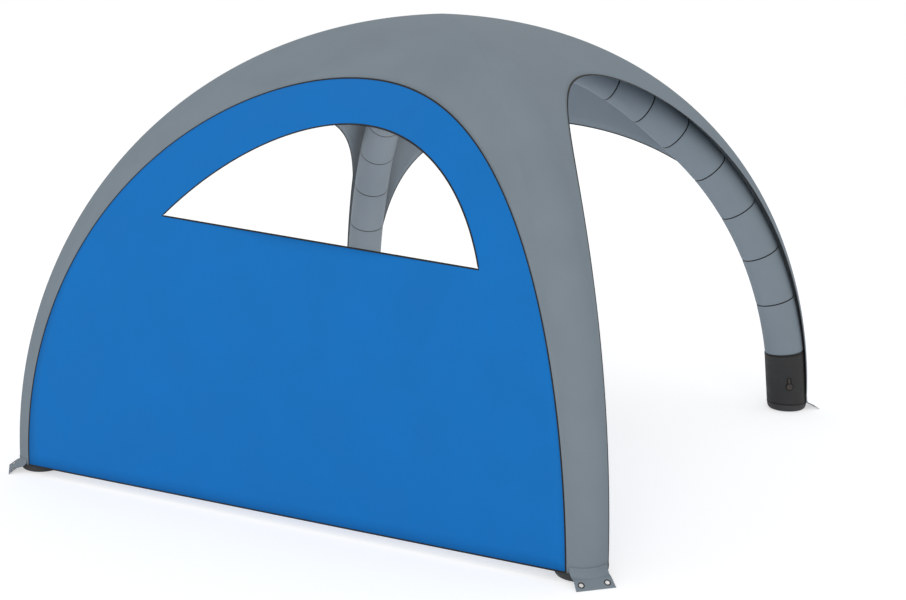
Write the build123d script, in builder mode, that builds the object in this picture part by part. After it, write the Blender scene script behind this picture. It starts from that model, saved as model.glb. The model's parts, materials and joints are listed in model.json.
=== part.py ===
"""Inflatable four-leg dome shelter, five metres square, with one zip-in side wall.

Four air tubes rise from boots at the corners of a square and meet in an air hub under the crown.
A cloth canopy lies over them: a rounded strip outside each tube and a single-curved panel between
each pair. Millimetres, +Z up, origin on the floor at the centre. The wall closes the -Y side.
"""

from build123d import *
from math import acos, atan, cos, degrees, radians, sqrt
import os

os.makedirs("parts", exist_ok=True)

# Legs: one Bezier curve from the hem to the crown, in each leg's own upright plane
leg_spacing = 4620.0  # between the centres of two neighbouring tubes, at the hem
hem_height = 65.0  # cloth hems and boot soles' rims above the floor
leg_lean = 59.0  # how far the curve's lower handle leans inwards
leg_handle = 1711.0  # length of the curve's lower handle
crown_handle = 2003.0  # length of the curve's upper handle
crown_rise = 3135.0  # tube centre at the crown above the hem

# Air tubes
tube_radius_foot = 172.0
tube_radius_crown = 158.0
tube_wall = 2.0
gore_length = 453.0  # between two ring seams

# Crown hub: the air chamber that the four tubes are welded to
hub_width = 372.0
hub_corner = 20.0
hub_depth = 372.0
hub_pad_width = 170.0
hub_wall = 3.0

# Canopy: its outer face is a tube's centre line, offset by these radii
canopy_radius_foot = 180.0
canopy_radius_crown = 326.0
cloth = 1.5
canopy_gores = 12  # straight lengths from the hem to the crown
strip_folds = 6  # flat widths that make up a strip's round
seam_gap = 0.3  # between two cloth edges that are sewn to each other
crown_flat = 240.0

# Arches in the four sides, as seen square on: half width and rise, with the curve's handles
arch_half_width = 2292.0
arch_lean = 29.0
arch_handle = 1727.0
high_arch_rise, high_arch_crown_handle = 2984.0, 1393.0
back_arch_rise, back_arch_handle, back_arch_crown_handle = 2509.0, 2136.0, 919.0
left_arch_rise, left_arch_crown_handle = 2597.0, 1927.0
panel_margin = 12.0  # cloth left between an arch and the strips at least

# Side wall, its window, and the tapes that cover their edges
window_left, window_left_rise = -1199.0, 1976.0
window_right, window_right_rise = 1493.0, 1800.0
window_left_pull, window_left_pull_rise = -257.0, 2984.0
window_right_pull, window_right_pull_rise = 1128.0, 2857.0
tape_width = 10.0
tape_thickness = 1.2

# Boots: many-sided, each a sleeve on a moulded cup
boot_height = 480.0
boot_wall = 6.0
boot_fit = 0.3
boot_sides = 32
sole_flat_radius = 140.0
sole_lift = 60.0  # height over which the sole widens
sole_wall = 6.0

# Inflation valves, on one side of each boot
valve_heading = -107.8  # turned from the leg's outward direction
valve_height = 183.0  # above the hem
valve_radius = 28.0
valve_bore_radius = 19.0
valve_proud = 4.0
valve_depth = 34.0
valve_fit = 0.4
bridge_width = 14.0
bridge_thickness = 5.0
bridge_bore_radius = 4.0
plunger_fit = 0.05
plunger_radius = 8.0
plunger_head = 4.0
plunger_setback = 6.0
seal_radius = 24.0
seal_thickness = 2.0
seal_gap = 0.3
cap_radius = 32.0
cap_height = 9.0
cap_fit = 0.8
cap_lid = 3.5
strap_length = 52.0
strap_width = 26.0
strap_thickness = 3.0

# Aprons at the foot of the strips, and anchor flaps
flap_hinge_reach = 198.0  # hinge line out from the tube's centre
flap_hinge_height = 50.0
flap_reach = 70.0
flap_tip_height = 3.0
flap_hinge_width = 250.0
flap_tip_width = 262.0
flap_thickness = 2.5
flap_gap = 0.8
grommet_spacing = 173.0
grommet_hole_radius = 14.0
grommet_radius = 23.0
grommet_thickness = 1.5

corners = {"front_left": -135.0, "front_right": -45.0, "back_right": 45.0, "back_left": 135.0}
half_diagonal = leg_spacing / sqrt(2)
leg_curve = Bezier(
    (half_diagonal, 0, hem_height),
    (half_diagonal - leg_lean, 0, hem_height + leg_handle),
    (crown_handle, 0, hem_height + crown_rise),
    (0, 0, hem_height + crown_rise),
)
leg_length = leg_curve.length


def turned(plane, heading):
    """The plane, turned about the dome's axis."""
    return Plane(Location((0, 0, 0), (0, 0, heading)) * plane.location)


def leg_spot(distance):
    """Centre of the leg and its direction, at a distance along it from the hem."""
    spot = leg_curve.position_at(distance, position_mode=PositionMode.LENGTH)
    if distance == 0:
        return spot, Vector(0, 0, 1)
    return spot, leg_curve.tangent_at(distance, position_mode=PositionMode.LENGTH)


def leg_plane(distance, heading):
    """Plane square to a leg, its x pointing out of the dome."""
    spot, way = leg_spot(distance)
    square = Plane(origin=spot, x_dir=(way.Z, 0, -way.X), z_dir=way)
    return turned(square, heading)


def tube_radius(distance):
    return tube_radius_foot + (tube_radius_crown - tube_radius_foot) * distance / leg_length


def canopy_radius(distance):
    return canopy_radius_foot + (canopy_radius_crown - canopy_radius_foot) * distance / leg_length


def contact(distance, offset=0.0):
    """Where a side panel meets a leg's strip: half span, reach from the axis, height."""
    spot, way = leg_spot(distance)
    half_span, slope = spot.X / sqrt(2), way.X / sqrt(2)
    length = sqrt(slope**2 + way.Z**2)
    radius = canopy_radius(distance) + offset
    return half_span, half_span + radius * way.Z / length, spot.Z - radius * slope / length


def strip_half_angle(distance):
    """Half the angle round the leg that its strip covers."""
    _, way = leg_spot(distance)
    slope = way.X / sqrt(2)
    return degrees(acos(slope**2 / (slope**2 + way.Z**2))) / 2


canopy_stations = [leg_length * i / canopy_gores for i in range(canopy_gores)]
hub_stop = leg_length - hub_width / 2
gore_count = int((hub_stop - boot_height) / gore_length)
seam_stations = [boot_height + gore_length * i for i in range(gore_count + 1)]
foot = leg_spot(0)[0]
boot_top = leg_spot(boot_height)[0]
boot_way = (boot_top - foot).normalized()
fold_angle = radians(strip_half_angle(0) / strip_folds)
boot_radius = ((canopy_radius_foot - cloth) * cos(fold_angle) - boot_fit) * boot_way.Z
boot_overrun = boot_radius / 4  # below the hem, where the slanted foot is then cut level
strip_drop = flap_hinge_height - cloth - hem_height  # a strip's lowest edge, from the hem
crown_height = hem_height + crown_rise
flap_length = sqrt(flap_reach**2 + (flap_hinge_height - flap_tip_height) ** 2)
grommet_spots = ((flap_length / 2, -grommet_spacing / 2), (flap_length / 2, grommet_spacing / 2))


def save(part, name):
    part.label = name
    export_step(part, f"parts/{name}.step")


def boot_plane(height, heading):
    """Plane square to the straight length of leg inside the boot, x pointing outwards."""
    square = Plane(origin=foot + boot_way * height, x_dir=(boot_way.Z, 0, -boot_way.X), z_dir=boot_way)
    return turned(square, heading)


def hub_face(heading):
    """Upright plane of the hub face that a leg ends on."""
    face = Plane(origin=(hub_width / 2, 0, crown_height), x_dir=(0, 0, 1), z_dir=(-1, 0, 0))
    return turned(face, heading)


def valve_plane(depth, heading):
    """Plane across a valve, z along its axis out of the boot, at a depth inside the boot's face."""
    across = boot_plane(valve_height, heading) * Location((0, 0, 0), (0, 0, valve_heading))
    face = across * Location((boot_radius - depth, 0, 0), (0, 90, 0)) * Location((0, 0, 0), (0, 0, 180))
    return Plane(face)


def flap_plane(heading):
    """Upper face of an anchor flap: origin mid hinge line, x down the flap, z upwards."""
    drop = flap_hinge_height - flap_tip_height
    edge = Plane(
        origin=(half_diagonal + flap_hinge_reach, 0, flap_hinge_height),
        x_dir=(flap_reach, 0, -drop),
        z_dir=(drop, 0, flap_reach),
    )
    return turned(edge, heading)


def tube_solid(wall, heading):
    """Straight tapered gores from ring seam to ring seam, between the boot and the hub."""
    with BuildPart() as solid:
        with BuildSketch(boot_plane(boot_height, heading)):
            Circle(tube_radius(boot_height) - wall)
        for distance in seam_stations[1:]:
            with BuildSketch(leg_plane(distance, heading)):
                Circle(tube_radius(distance) - wall)
        with BuildSketch(hub_face(heading)):
            Circle(tube_radius(hub_stop) - wall)
        loft(ruled=True)
    return solid.part


def air_tube(heading):
    """Hollow tube, welded to the boot's sleeve at its foot and to the hub at the crown."""
    inside = tube_solid(tube_wall, heading)
    with BuildPart() as tube:
        add(tube_solid(0, heading))
        add(inside, mode=Mode.SUBTRACT)
    return tube.part


def valve_hole(heading):
    with BuildPart() as hole:
        with BuildSketch(valve_plane(valve_depth, heading)):
            Circle(valve_radius + valve_fit)
        extrude(amount=valve_depth + valve_proud)
    return hole.part


def boot_sleeve(heading):
    """Heavy sleeve that forms the foot of the tube, with the valve's hole in it."""
    hole = valve_hole(heading)
    with BuildPart() as sleeve:
        for radius, mode in ((boot_radius, Mode.ADD), (boot_radius - boot_wall, Mode.SUBTRACT)):
            with BuildSketch(boot_plane(-boot_overrun, heading)):
                RegularPolygon(radius, boot_sides)
            extrude(amount=boot_height + boot_overrun, mode=mode)
        split(bisect_by=Plane.XY.offset(hem_height), keep=Keep.TOP)
        add(hole, mode=Mode.SUBTRACT)
    return sleeve.part


def boot_sole(heading):
    """Moulded cup under the sleeve, its outside narrowing to the floor."""
    floor = turned(Plane(origin=(half_diagonal, 0, 0)), heading)
    with BuildPart() as sole:
        with BuildSketch(floor):
            RegularPolygon(boot_radius, boot_sides)
        extrude(amount=hem_height)
        lowest = sole.faces().sort_by(Axis.Z)[0]
        chamfer(lowest.edges(), boot_radius - sole_flat_radius, sole_lift, reference=lowest)
        with BuildSketch(floor.offset(sole_wall)):
            RegularPolygon(sole_flat_radius - sole_wall, boot_sides)
        extrude(amount=hem_height, mode=Mode.SUBTRACT)
    return sole.part


def valve_body(heading):
    """Open-ended barrel with a bridge across its inner end that guides the plunger."""
    with BuildPart() as body:
        with BuildSketch(valve_plane(valve_depth, heading)):
            Circle(valve_radius)
            Circle(valve_bore_radius, mode=Mode.SUBTRACT)
        extrude(amount=valve_depth + valve_proud)
        with BuildSketch(valve_plane(valve_depth, heading)):
            Rectangle(bridge_width, 2 * valve_bore_radius + 1)
            Circle(bridge_bore_radius, mode=Mode.SUBTRACT)
        extrude(amount=bridge_thickness)
    return body.part


def valve_plunger(heading):
    """Stem in the bridge, with a knob outside it and a seal under the barrel's inner end."""
    seal_depth = valve_depth + seal_gap
    with BuildPart() as plunger:
        with BuildSketch(valve_plane(seal_depth, heading)):
            Circle(bridge_bore_radius - plunger_fit)
        extrude(amount=seal_depth - plunger_setback)
        with BuildSketch(valve_plane(seal_depth, heading)):
            Circle(seal_radius)
        extrude(amount=-seal_thickness)
        with BuildSketch(valve_plane(plunger_setback, heading)):
            Circle(plunger_radius)
        extrude(amount=-plunger_head)
    return plunger.part


def valve_cap(heading):
    """Cap over the barrel, moulded in one with the strap that holds it."""
    outwards = Axis(valve_plane(0, heading).origin, valve_plane(0, heading).z_dir)
    with BuildPart() as cap:
        with BuildSketch(valve_plane(-boot_fit, heading)):
            Circle(cap_radius)
        extrude(amount=cap_height)
        chamfer(cap.faces().sort_by(outwards)[-1].edges(), cap_lid / 2)
        with BuildSketch(valve_plane(-boot_fit, heading)):
            with Locations(((cap_radius + strap_length) / 2, 0)):
                Rectangle(cap_radius + strap_length, strap_width)
        extrude(amount=strap_thickness)
        with BuildSketch(valve_plane(-boot_fit, heading)):
            Circle(valve_radius + cap_fit)
        extrude(amount=cap_height - cap_lid, mode=Mode.SUBTRACT)
    return cap.part


def hub_solid(wall):
    """Square chamber turned to face the tubes, narrowing above them to a pad."""
    top = crown_height + hub_depth / 2 - wall
    pad = crown_height + canopy_radius_crown - cloth - seam_gap - wall
    narrowing = degrees(atan((hub_width - hub_pad_width) / 2 / (pad - top)))
    with BuildPart() as solid:
        with BuildSketch(Plane.XY.offset(crown_height - hub_depth / 2 + wall)) as base:
            Rectangle(hub_width - 2 * wall, hub_width - 2 * wall, rotation=45)
            chamfer(base.vertices(), hub_corner)
        extrude(amount=hub_depth - 2 * wall)
        extrude(solid.faces().sort_by(Axis.Z)[-1], amount=pad - top, taper=narrowing)
    return solid.part


def crown_hub():
    """Air chamber between the four tube ends, with a pad that carries the canopy's crown."""
    inside = hub_solid(hub_wall)
    with BuildPart() as hub:
        add(hub_solid(0))
        add(inside, mode=Mode.SUBTRACT)
    return hub.part


def strip_row(distance, radius, heading):
    """Points round a strip, from edge to edge, at a distance along its leg."""
    half = strip_half_angle(distance)
    row = []
    for fold in range(strip_folds + 1):
        angle = half * (2 * fold / strip_folds - 1)
        spot = leg_plane(distance, heading) * Location((0, 0, 0), (0, 0, angle)) * Pos(radius, 0, 0)
        row.append(spot.position)
    return row


def sewn_solid(outer, inner):
    """Closed solid from two matching grids of points, its faces all flat triangles."""
    last_row, last = len(outer) - 1, len(outer[0]) - 1
    rims = [
        [outer[0], inner[0]],
        [inner[last_row], outer[last_row]],
        [[row[0] for row in inner], [row[0] for row in outer]],
        [[row[last] for row in outer], [row[last] for row in inner]],
    ]
    faces = []
    for grid in [outer, inner, *rims]:
        for row, above in zip(grid, grid[1:]):
            for a, b, c, d in zip(row, row[1:], above[1:], above):
                faces += [Face(Wire.make_polygon([a, b, c])), Face(Wire.make_polygon([a, c, d]))]
    return Solid(Shell(faces))


def leg_strip(heading):
    """Rounded cloth outside a tube, from the apron to the crown patch."""
    outer, inner = [], []
    for grid, radius_change in ((outer, 0), (inner, -cloth)):
        row = strip_row(0, canopy_radius(0) + radius_change, heading)
        grid.append([spot + Vector(0, 0, strip_drop) for spot in row])
        grid += [strip_row(s, canopy_radius(s) + radius_change, heading) for s in canopy_stations]
    with BuildPart() as strip:
        add(sewn_solid(outer, inner))
    return strip.part


def foot_apron(heading):
    """Cloth between the strip's round foot and the straight hinge line of the flap."""
    half = strip_half_angle(0)
    with BuildPart() as apron:
        with BuildSketch(turned(Plane(origin=(half_diagonal, 0, flap_hinge_height)), heading)):
            with BuildLine():
                foot_edge = CenterArc((0, 0), canopy_radius_foot + seam_gap, -half, 2 * half)
                Polyline(
                    foot_edge @ 0,
                    (flap_hinge_reach - flap_gap, -flap_hinge_width / 2),
                    (flap_hinge_reach - flap_gap, flap_hinge_width / 2),
                    foot_edge @ 1,
                )
            make_face()
        extrude(amount=-cloth)
    return apron.part


def anchor_flap(heading):
    with BuildPart() as flap:
        with BuildSketch(flap_plane(heading)):
            with BuildLine():
                Polyline(
                    (flap_gap, -flap_hinge_width / 2),
                    (flap_length, -flap_tip_width / 2),
                    (flap_length, flap_tip_width / 2),
                    (flap_gap, flap_hinge_width / 2),
                    close=True,
                )
            make_face()
            with Locations(*grommet_spots):
                Circle(grommet_hole_radius, mode=Mode.SUBTRACT)
        extrude(amount=-flap_thickness)
    return flap.part


def flap_grommets(heading):
    with BuildPart() as grommets:
        with BuildSketch(flap_plane(heading)):
            with Locations(*grommet_spots):
                Circle(grommet_radius)
                Circle(grommet_hole_radius, mode=Mode.SUBTRACT)
        extrude(amount=grommet_thickness)
    return grommets.part


def side_cloth(outside=0.0, inside=-cloth):
    """Single-curved cloth of the front side, as wide as the dome."""
    outer = [contact(distance, outside) for distance in canopy_stations]
    inner = [contact(distance, inside) for distance in reversed(canopy_stations)]
    with BuildPart() as sheet:
        with BuildSketch(Plane.YZ):
            with BuildLine():
                Polyline(*[(-reach, height) for _, reach, height in outer + inner], close=True)
            make_face()
        extrude(amount=leg_spacing / 2, both=True)
    return sheet.part


def side_span(inset):
    """Outline of a side between its two strips, seen square on."""
    joins = [contact(distance, -cloth) for distance in canopy_stations]
    edge = [(half_span - inset, height) for half_span, _, height in joins]
    edge = [(edge[0][0], 0)] + edge
    with BuildSketch() as span:
        with BuildLine():
            Polyline(*edge, *[(-x, height) for x, height in reversed(edge)], close=True)
        make_face()
    return span.sketch


def arch(rise, handle, crown_handle, grow=0.0):
    """Outline of an arched opening, seen square on and run on down to the floor."""
    foot_x, top = arch_half_width + grow, hem_height + rise + grow
    with BuildSketch() as opening:
        with BuildLine():
            right = Bezier(
                (foot_x, hem_height),
                (foot_x - arch_lean, hem_height + handle),
                (crown_handle, top),
                (0, top),
            )
            left = mirror(right, about=Plane.YZ)
            Polyline(right @ 0, (foot_x, 0), (-foot_x, 0), left @ 0)
        make_face()
    return opening.sketch


def moved_out(corners, amount):
    """Corners of a polygon, listed clockwise, whose sides are moved outwards."""
    moved = []
    for before, corner, after in zip([corners[-1]] + corners, corners, corners[1:] + corners[:1]):
        normals = []
        for start, end in ((before, corner), (corner, after)):
            way = (Vector(*end) - Vector(*start)).normalized()
            normals.append(Vector(-way.Y, way.X))
        share = amount / (1 + normals[0].dot(normals[1]))
        moved.append(Vector(*corner) + (normals[0] + normals[1]) * share)
    return moved


def window(grow=0.0):
    """Half-moon outline of the window, seen square on."""
    controls = [
        (window_left, hem_height + window_left_rise),
        (window_left_pull, hem_height + window_left_pull_rise),
        (window_right_pull, hem_height + window_right_pull_rise),
        (window_right, hem_height + window_right_rise),
    ]
    with BuildSketch() as moon:
        with BuildLine():
            top = Bezier(*moved_out(controls, grow))
            Line(top @ 0, top @ 1)
        make_face()
    return moon.sketch


def cut_cloth(sheet, outline):
    """The part of the front side's cloth that lies behind an outline."""
    with BuildPart() as piece:
        add(sheet)
        with BuildSketch(Plane.XZ):
            add(outline)
        extrude(amount=leg_spacing, mode=Mode.INTERSECT)
    return piece.part


def roof_panel(heading, rise, handle, crown_handle):
    """Cloth over an arch, made at the front and turned to its own side."""
    opening = arch(rise, handle, crown_handle) & side_span(panel_margin)
    panel = cut_cloth(side_cloth(), side_span(seam_gap) - opening)
    return panel.rotate(Axis.Z, heading)


def crown_patch():
    """Low four-sided cap of cloth over the ends of the panels and strips."""
    half_span, reach, edge_height = contact(canopy_stations[-1])
    reach -= seam_gap
    corner = half_span - 2 * seam_gap
    rise = crown_height + canopy_radius_crown - edge_height
    narrowing = degrees(atan((reach - crown_flat / 2) / rise))
    with BuildPart() as patch:
        for drop, mode in ((0, Mode.ADD), (cloth, Mode.SUBTRACT)):
            with BuildSketch(Plane.XY.offset(edge_height - drop)):
                Rectangle(2 * reach, 2 * reach)
            extrude(amount=rise, taper=narrowing, mode=mode)
        with BuildSketch(Plane.XY.offset(edge_height - reach)):
            Rectangle(2 * reach, 2 * corner)
            Rectangle(2 * corner, 2 * reach)
            make_hull()
        extrude(amount=2 * reach, mode=Mode.INTERSECT)
    return patch.part


def front_arch(grow=0.0):
    return arch(high_arch_rise, arch_handle, high_arch_crown_handle, grow)


def side_wall():
    """Cloth wall that fills the front arch, with a cut-out for the window."""
    return cut_cloth(side_cloth(), front_arch(-seam_gap) - window())


def window_pane():
    return cut_cloth(side_cloth(), window(-seam_gap))


def window_tape():
    """Tape over the seam round the window."""
    band = window(tape_width / 2) - window(-tape_width / 2)
    return cut_cloth(side_cloth(seam_gap + tape_thickness, seam_gap), band)


def wall_tape():
    """Binding along the wall's arched edge and its hem."""
    with BuildSketch() as band:
        add(front_arch(-tape_width))
        with Locations((0, hem_height + tape_width)):
            Rectangle(leg_spacing, crown_height, align=(Align.CENTER, Align.MIN), mode=Mode.INTERSECT)
    return cut_cloth(side_cloth(seam_gap + tape_thickness, seam_gap), front_arch() - band.sketch)


for corner, heading in corners.items():
    save(air_tube(heading), f"{corner}_air_tube")
    save(boot_sleeve(heading), f"{corner}_boot_sleeve")
    save(boot_sole(heading), f"{corner}_boot_sole")
    save(valve_body(heading), f"{corner}_valve_body")
    save(valve_plunger(heading), f"{corner}_valve_plunger")
    save(valve_cap(heading), f"{corner}_valve_cap")
    save(leg_strip(heading), f"{corner}_leg_strip")
    save(foot_apron(heading), f"{corner}_foot_apron")
    save(anchor_flap(heading), f"{corner}_anchor_flap")
    save(flap_grommets(heading), f"{corner}_flap_grommets")
save(crown_hub(), "crown_hub")
save(crown_patch(), "crown_patch")
save(roof_panel(0, high_arch_rise, arch_handle, high_arch_crown_handle), "front_panel")
save(roof_panel(90, high_arch_rise, arch_handle, high_arch_crown_handle), "right_panel")
save(roof_panel(180, back_arch_rise, back_arch_handle, back_arch_crown_handle), "back_panel")
save(roof_panel(-90, left_arch_rise, arch_handle, left_arch_crown_handle), "left_panel")
save(side_wall(), "side_wall")
save(wall_tape(), "wall_tape")
save(window_pane(), "window_pane")
save(window_tape(), "window_tape")
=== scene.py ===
"""An inflatable four-leg dome shelter with one side wall, dressed over its CAD frame.

The canopy, wall and window are cloth and film that follow the legs' curve. Air beams, boots,
valve caps, flap cloths and eyelets take their places from the frame's nodes and joints.
"""

import json
from contextlib import contextmanager
from math import cos, hypot, pi, radians, sin, sqrt, tau

import bmesh
import bpy
import numpy as np
from bpy.props import FloatProperty, FloatVectorProperty, PointerProperty
from mathutils import Matrix, Vector


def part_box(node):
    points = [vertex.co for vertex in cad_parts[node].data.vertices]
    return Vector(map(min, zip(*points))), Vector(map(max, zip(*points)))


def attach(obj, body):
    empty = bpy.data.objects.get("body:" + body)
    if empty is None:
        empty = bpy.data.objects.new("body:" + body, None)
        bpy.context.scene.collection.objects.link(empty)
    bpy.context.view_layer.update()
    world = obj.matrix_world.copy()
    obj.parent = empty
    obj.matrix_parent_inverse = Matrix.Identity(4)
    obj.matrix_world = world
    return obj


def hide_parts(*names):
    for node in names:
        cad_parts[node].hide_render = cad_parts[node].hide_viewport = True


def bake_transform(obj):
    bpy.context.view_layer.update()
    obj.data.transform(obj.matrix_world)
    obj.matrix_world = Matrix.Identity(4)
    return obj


bl_info = {
    "name": "Inflatable dome shelter",
    "version": (1, 0, 0),
    "blender": (4, 5, 0),
    "location": "View3D > Sidebar > Shelter",
    "description": "Builds the cloth, beams, boots and fittings of an inflatable dome shelter",
    "category": "Add Mesh",
}

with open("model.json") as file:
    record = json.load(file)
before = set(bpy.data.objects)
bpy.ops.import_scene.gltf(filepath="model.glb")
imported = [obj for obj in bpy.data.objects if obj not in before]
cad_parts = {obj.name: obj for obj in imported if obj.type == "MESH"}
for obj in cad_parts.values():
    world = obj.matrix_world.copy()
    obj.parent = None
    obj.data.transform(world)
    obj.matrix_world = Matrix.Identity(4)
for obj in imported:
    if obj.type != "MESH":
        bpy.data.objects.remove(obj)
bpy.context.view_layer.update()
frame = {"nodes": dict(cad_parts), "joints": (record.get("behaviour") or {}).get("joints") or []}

CORNERS = {"front_left": -135, "front_right": -45, "back_right": 45, "back_left": 135}
SIDES = {"front": 0, "right": 90, "back": 180, "left": -90}

sole_low, sole_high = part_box("back_right_boot_sole")
LEG_REACH = hypot(sole_low.x + sole_high.x, sole_low.y + sole_high.y) / 2
HEM_HEIGHT = sole_high.z
APRON_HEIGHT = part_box("back_right_foot_apron")[1].z
CROWN_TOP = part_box("crown_patch")[1].z

# Camera in metres, its dip and heading in radians, its lens and sensor in millimetres
CAMERA_PLACE = (5.658, -9.981, 3.329)
CAMERA_DIP, CAMERA_HEADING = 0.1857, 0.5081
CAMERA_LENS, CAMERA_SENSOR = 55.34, 36

# Points inside the dome and inside a beam's bend, from which their faces look away
DOME_MIDDLE = Vector((0, 0, 1.0))
BEND_MIDDLE = Vector((1.9, 0, 1.9))
WALL_WAY = Vector((0, -1, 0.2))
SIDEWAYS = np.array([0.0, 1.0, 0.0])

# How finely the curves and round pieces are divided
CURVE_SAMPLES = 600
BEAM_SIDES = 72
BOOT_SIDES = 96

# Small thicknesses and clearances in metres
SAME_POINT = 0.0004
FILM_THICKNESS = 0.0006
SLEEVE_WALL = 0.006
SOFT_EDGE, ROUND_EDGE = 35, 40  # degrees, sharper edges stay sharp


def size_of(name, description, default):
    return FloatProperty(
        name=name, description=description, default=default, unit="LENGTH", precision=4
    )


def area_of(name, description, default):
    return FloatProperty(name=name, description=description, default=default, unit="AREA")


def spot_of(name, description, *spot):
    return FloatVectorProperty(
        name=name, description=description, default=spot, size=2, unit="LENGTH", precision=4
    )


def colour_of(name, description, *display):
    """A colour given as display values from 0 to 255 and kept as linear light."""
    values = [value / 255 for value in display]
    linear = [v / 12.92 if v <= 0.04045 else ((v + 0.055) / 1.055) ** 2.4 for v in values]
    return FloatVectorProperty(
        name=name, description=description, default=linear, subtype="COLOR", min=0, max=1, size=3
    )


class ShelterSizes(bpy.types.PropertyGroup):
    """Sizes of the shelter's cloth and beams."""

    leg_lean: size_of("Leg lean", "Inward lean of the leg curve's lower handle", 0.059)
    leg_handle: size_of("Leg handle", "Length of the leg curve's lower handle", 1.711)
    crown_handle: size_of("Crown handle", "Length of the leg curve's upper handle", 2.003)
    tube_radius_foot: size_of("Beam radius at the foot", "Taken at the hem", 0.172)
    tube_radius_crown: size_of("Beam radius at the crown", "Taken without the narrowing", 0.158)
    canopy_radius_foot: size_of("Canopy radius at the foot", "Leg curve to canopy there", 0.180)
    canopy_radius_crown: size_of("Canopy radius at the crown", "Leg curve to canopy there", 0.326)
    cloth: size_of("Cloth", "Thickness of the coated cloth", 0.0015)
    arch_half_width: size_of("Arch half width", "Half width of each arch at the hem", 2.292)
    arch_lean: size_of("Arch lean", "Inward lean of the arches' lower handle", 0.029)
    arch_handle: size_of("Arch handle", "Lower handle of the front, right and left arches", 1.727)
    high_arch_rise: size_of("High arch rise", "Rise of the front and right arches", 2.984)
    high_arch_pull: size_of("High arch pull", "Upper handle of the high arches", 1.393)
    back_arch_rise: size_of("Back arch rise", "Rise of the back arch", 2.509)
    back_arch_handle: size_of("Back arch handle", "Lower handle of the back arch", 2.136)
    back_arch_pull: size_of("Back arch pull", "Upper handle of the back arch", 0.919)
    left_arch_rise: size_of("Left arch rise", "Rise of the left arch", 2.597)
    left_arch_pull: size_of("Left arch pull", "Upper handle of the left arch", 1.927)
    panel_margin: size_of("Panel margin", "Cloth left beside an arch at least", 0.012)
    window_left: spot_of("Window left corner", "Lower left corner, above the hem", -1.199, 1.976)
    window_left_pull: spot_of("Window left pull", "Handle of the left corner", -0.161, 3.091)
    window_right_pull: spot_of("Window right pull", "Handle of the right corner", 1.112, 2.723)
    window_right: spot_of("Window right corner", "Lower right corner, above the hem", 1.493, 1.800)
    canopy_cut: area_of("Canopy cut", "Flat area of the canopy", 18.9)
    wall_cut: area_of("Wall cut", "Flat area of the side wall", 10.0)
    window_cut: area_of("Window cut", "Flat area of the window", 1.71)
    flap_cut: area_of("Flap cut", "Flat area of a flap", 0.042)
    binding_width: size_of("Binding width", "Width of the dark bindings", 0.010)
    binding_height: size_of("Binding height", "How far a binding stands off the cloth", 0.0014)
    boot_height: size_of("Boot height", "Length of a boot's sleeve along the leg", 0.480)
    boot_radius: size_of("Boot radius", "Outside radius of a boot's sleeve", 0.1757)
    first_gore: size_of("First gore", "From a boot's top to the first ring seam", 0.495)
    gore_length: size_of("Gore length", "Between ring seams on the straighter lower beam", 0.466)
    short_gore: size_of("Short gore", "Between ring seams where the beam bends over", 0.345)
    bend_start: size_of("Bend start", "Along the leg, where the gores begin to shorten", 2.30)
    bend_end: size_of("Bend end", "Along the leg, where the gores are shortest", 3.00)
    rise_start: size_of("Rise start", "Along the leg, where its beam begins to rise", 2.75)
    rise_end: size_of("Rise end", "Along the leg, where its beam is nearest to the canopy", 4.05)
    crown_lift: size_of("Crown lift", "Beam's rise towards the canopy at the crown", 0.075)
    crown_narrowing: size_of("Crown narrowing", "Loss of the beam's radius at the crown", 0.033)
    hub_width: size_of("Hub width", "Between two opposite beam ends at the crown", 0.372)
    hub_height: size_of("Hub height", "Height of the square chamber of the hub", 0.282)
    ring_seam_width: size_of("Ring seam width", "Width of an air beam's welded ring seam", 0.013)
    flap_seam_height: size_of("Flap seam height", "Top of a flap's cloth above the hem", 0.045)
    flap_hinge_reach: size_of("Flap fold reach", "Fold line from the leg's centre", 0.198)
    flap_reach: size_of("Flap reach", "Outer edge from the fold line", 0.070)
    flap_tip_height: size_of("Flap tip height", "Outer edge above the floor", 0.003)
    eyelet_spacing: size_of("Eyelet spacing", "Between the eyelets of a flap", 0.173)
    flap_hinge_width: size_of("Flap width", "Width of a flap along its fold", 0.250)
    flap_tip_width: size_of("Flap tip width", "Width of a flap at its outer edge", 0.262)
    valve_radius: size_of("Valve radius", "Outside radius of a valve's barrel", 0.028)
    cap_radius: size_of("Cap radius", "Outside radius of a valve's cap", 0.032)
    strap_length: size_of("Strap length", "Cap strap beyond the cap", 0.052)
    eyelet_hole: size_of("Eyelet hole", "Radius of an eyelet's hole", 0.014)
    eyelet_radius: size_of("Eyelet radius", "Outside radius of an eyelet", 0.0225)


class ShelterColours(bpy.types.PropertyGroup):
    """Colours of the shelter's cloth, film and fittings."""

    canopy: colour_of("Canopy", "Grey coated cloth and air beams", 125, 135, 143)
    wall: colour_of("Wall", "Blue coated cloth of the side wall", 20, 113, 189)
    boot: colour_of("Boot", "Dark heavy cloth of the boots", 46, 46, 46)
    sole: colour_of("Sole", "Moulded cup under a boot", 42, 42, 43)
    line: colour_of("Binding", "Bindings and ring seams", 32, 30, 28)
    fitting: colour_of("Fitting", "Moulded valve parts", 20, 17, 15)
    # A paler copy of the fitting plastic's colour: a painted highlight on the faces of the cap and
    # strap that look out of the boot
    cap: colour_of("Cap", "Top of a valve cap and its strap", 61, 56, 52)
    metal: colour_of("Metal", "Eyelets", 46, 38, 33)
    film: colour_of("Film", "Clear window film", 238, 243, 246)


def sizes():
    return bpy.context.scene.shelter_sizes


def colours():
    return bpy.context.scene.shelter_colours


# ---------------------------------------------------------------- curves of the shelter


def cubic(corners, share):
    """Points of a cubic curve at shares of its parameter."""
    rest = 1 - share
    weights = (rest**3, 3 * share * rest**2, 3 * share**2 * rest, share**3)
    return sum(weight * corner for weight, corner in zip(weights, corners))


def unit(vectors):
    return vectors / np.linalg.norm(vectors, axis=1)[:, None]


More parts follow.
